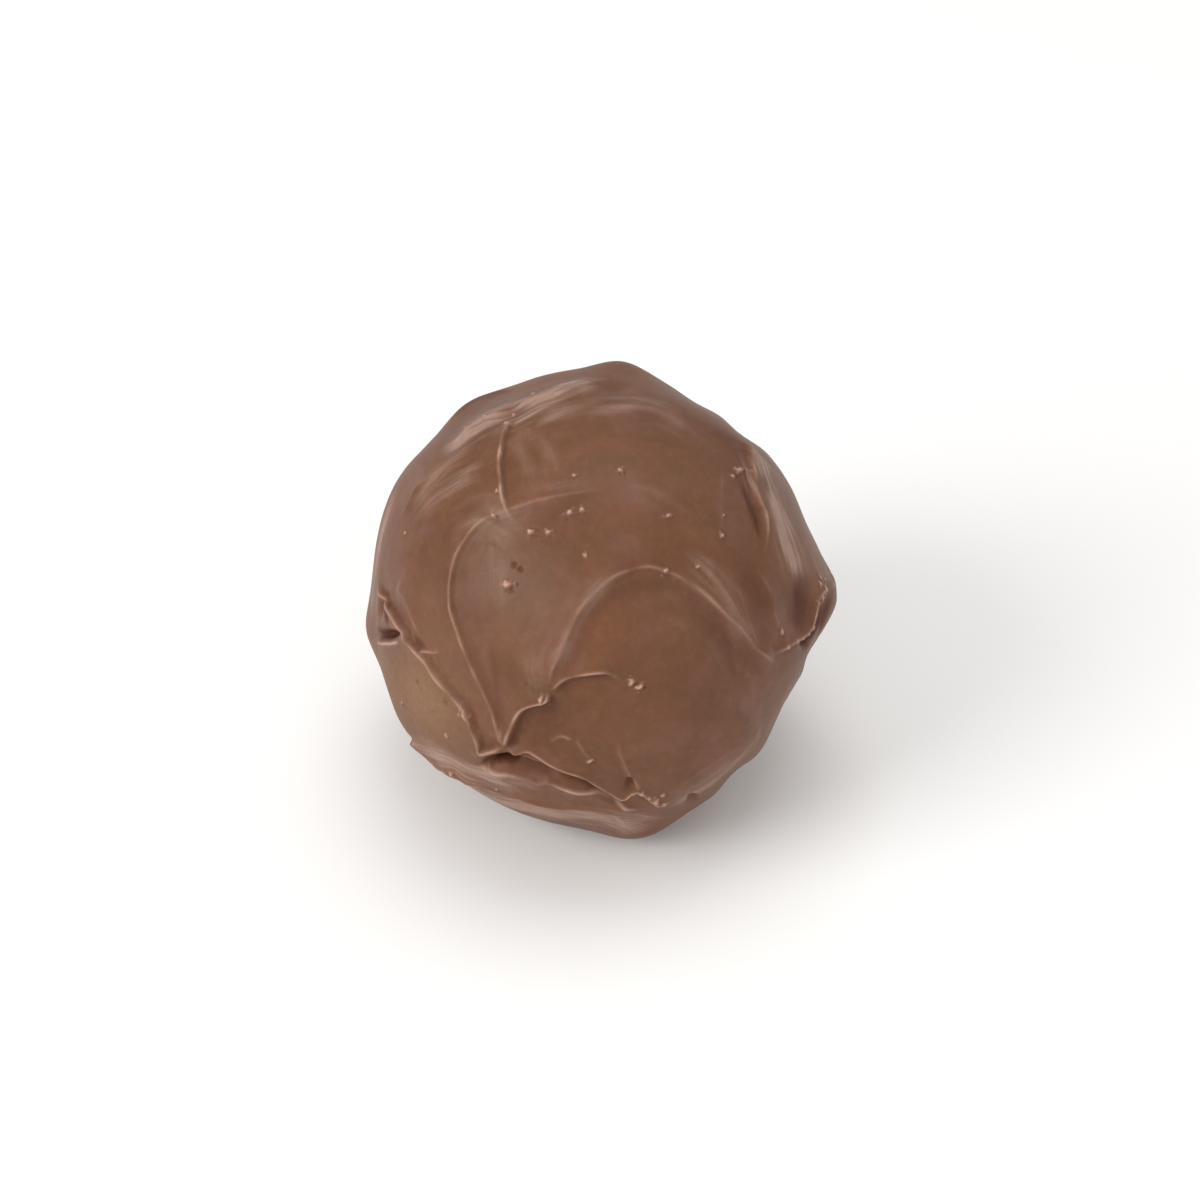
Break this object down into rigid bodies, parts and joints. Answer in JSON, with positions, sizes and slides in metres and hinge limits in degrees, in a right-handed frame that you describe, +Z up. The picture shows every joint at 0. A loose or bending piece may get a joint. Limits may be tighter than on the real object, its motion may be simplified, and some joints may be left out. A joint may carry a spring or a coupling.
{
  "type": "chocolate bonbon",
  "caption": "Hand-rolled ball of milk chocolate with thin curved crests, folded lips and creases, standing on a small flat spot.",
  "frame": {"origin": "centre of the bounding box's underside, on the flat spot that the bonbon stands on", "axes": "+Z is up; -Y is the front, the side with the main arch and the front lip; +X is to the right of someone who looks at the front"},
  "size_m": [0.0302, 0.0294, 0.0276],
  "materials": {
    "milk_chocolate": "satin"
  },
  "bodies": {
    "root": {"bonbon": "milk_chocolate"}
  },
  "joints": []
}
